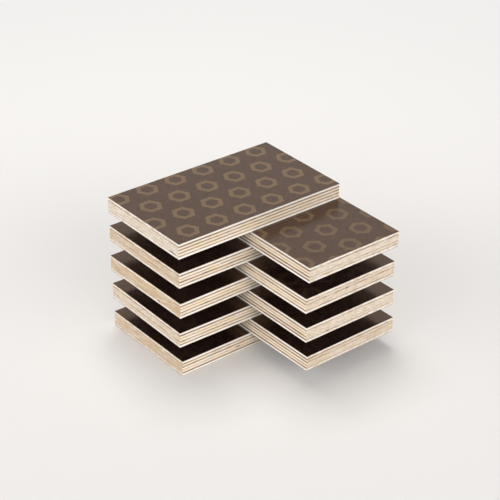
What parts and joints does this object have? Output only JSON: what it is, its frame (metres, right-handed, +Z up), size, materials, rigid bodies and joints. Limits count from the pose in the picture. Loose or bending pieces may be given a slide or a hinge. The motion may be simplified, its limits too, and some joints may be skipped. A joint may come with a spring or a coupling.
{
  "type": "stack of film-faced plywood sheets",
  "caption": "Stack of short film-faced plywood sheets laid crosswise from one shared corner, with the veneers open to view on the sawn edges.",
  "frame": {"origin": "middle of the stack's box, on the floor that the bottom sheet lies on", "axes": "+Z up through the sheets, +X along the bottom and top sheets, +Y along the crosswise sheets, towards the corner that all sheets share"},
  "size_m": [0.2156, 0.2118, 0.1575],
  "materials": {
    "film": "satin brown phenolic film with a tone-on-tone print",
    "long_veneer": "sawn, unsealed pale veneer",
    "cross_veneer": "sawn, unsealed darker veneer"
  },
  "bodies": {
    "root": {"sheet_1_face_films": "film", "sheet_1_long_plies": "long_veneer", "sheet_1_cross_plies": "cross_veneer", "sheet_2_face_films": "film", "sheet_2_long_plies": "long_veneer", "sheet_2_cross_plies": "cross_veneer", "sheet_3_face_films": "film", "sheet_3_long_plies": "long_veneer", "sheet_3_cross_plies": "cross_veneer", "sheet_4_face_films": "film", "sheet_4_long_plies": "long_veneer", "sheet_4_cross_plies": "cross_veneer", "sheet_5_face_films": "film", "sheet_5_long_plies": "long_veneer", "sheet_5_cross_plies": "cross_veneer", "sheet_6_face_films": "film", "sheet_6_long_plies": "long_veneer", "sheet_6_cross_plies": "cross_veneer", "sheet_7_face_films": "film", "sheet_7_long_plies": "long_veneer", "sheet_7_cross_plies": "cross_veneer", "sheet_8_face_films": "film", "sheet_8_long_plies": "long_veneer", "sheet_8_cross_plies": "cross_veneer", "sheet_9_face_films": "film", "sheet_9_long_plies": "long_veneer", "sheet_9_cross_plies": "cross_veneer"}
  },
  "joints": []
}
